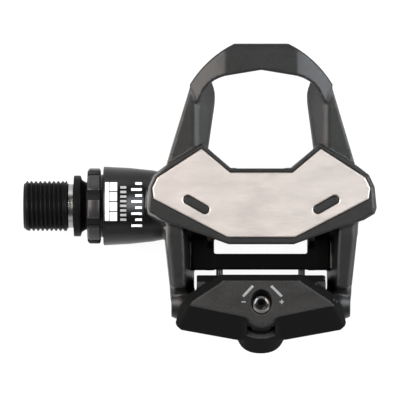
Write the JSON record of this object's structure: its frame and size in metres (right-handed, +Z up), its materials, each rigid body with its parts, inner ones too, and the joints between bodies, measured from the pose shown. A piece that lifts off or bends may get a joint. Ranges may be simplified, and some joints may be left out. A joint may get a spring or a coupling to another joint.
{
  "type": "clipless bicycle pedal",
  "caption": "Single-sided clipless road pedal for the right crank: open nose hoop, steel contact plate, sprung rear claw and a sealed-bearing spindle.",
  "frame": {"origin": "where the spindle's axis meets the face that seats on the crank", "axes": "+X along the spindle away from the crank, +Y forward to the hoop, +Z up to the shoe"},
  "size_m": [0.0999, 0.088, 0.0264],
  "materials": {
    "spindle_steel": "satin",
    "bearing_steel": "polished",
    "body_composite": "moulded",
    "plate_steel": "brushed",
    "nut_alloy": "anodised",
    "seal_rubber": "matte",
    "spacer_alloy": "satin",
    "pin_steel": "ground",
    "cage_brass": "satin",
    "claw_composite": "moulded",
    "spring_steel": "satin",
    "bush_plastic": "matte",
    "screw_steel": "satin",
    "nut_plastic": "moulded"
  },
  "bodies": {
    "spindle": {"spindle": "spindle_steel", "inner_races": "bearing_steel", "tab_washer": "bearing_steel", "spindle_locknut": "bearing_steel"},
    "pedal": {"pedal_body": "body_composite", "contact_plate": "plate_steel", "retaining_nut": "nut_alloy", "lip_seal": "seal_rubber", "needle_shell": "bearing_steel", "spacer_sleeve": "spacer_alloy", "outer_races": "bearing_steel", "bearing_shields": "bearing_steel", "hinge_pin": "pin_steel"},
    "needle_set": {"needle_rollers": "bearing_steel", "needle_cage": "cage_brass"},
    "ball_set": {"bearing_balls": "bearing_steel", "ball_cages": "cage_brass"},
    "claw": {"rear_claw": "claw_composite", "spring_left": "spring_steel", "spring_right": "spring_steel", "spring_sleeves": "bush_plastic"},
    "screw": {"tension_screw": "screw_steel", "screw_clip": "spring_steel"},
    "nut": {"tension_nut": "nut_plastic"}
  },
  "joints": [
    {"name": "body_spin", "type": "hinge", "parent": "spindle", "child": "pedal", "pos_m": [0.053, 0, 0], "axis": [1, 0, 0], "continuous": true},
    {"name": "needle_spin", "type": "hinge", "parent": "spindle", "child": "needle_set", "pos_m": [0.021, 0, 0], "axis": [1, 0, 0], "continuous": true},
    {"name": "ball_spin", "type": "hinge", "parent": "spindle", "child": "ball_set", "pos_m": [0.067, 0, 0], "axis": [1, 0, 0], "continuous": true},
    {"name": "claw_pivot", "type": "hinge", "parent": "pedal", "child": "claw", "pos_m": [0.053, -0.0278, -0.0015], "axis": [1, 0, 0], "range_deg": [0, 18], "stiffness_Nm_per_rad": 4, "springref_deg": -28.65, "deforming": ["spring_left", "spring_right"]},
    {"name": "tension_turn", "type": "hinge", "parent": "claw", "child": "screw", "pos_m": [0.053, -0.0273, 0.013], "axis": [0, -0.4067, -0.9135], "range_deg": [0, 1440]},
    {"name": "nut_slide", "type": "slide", "parent": "claw", "child": "nut", "axis": [0, -0.4067, -0.9135], "range_m": [0, 0.0032], "deforming": ["spring_left", "spring_right"]}
  ],
  "couplings": [
    {"joint": "needle_spin", "follows": "body_spin", "ratio": 0.5551},
    {"joint": "ball_spin", "follows": "body_spin", "ratio": 0.5992},
    {"joint": "tension_turn", "follows": "nut_slide", "rad_per_m": 7850}
  ]
}
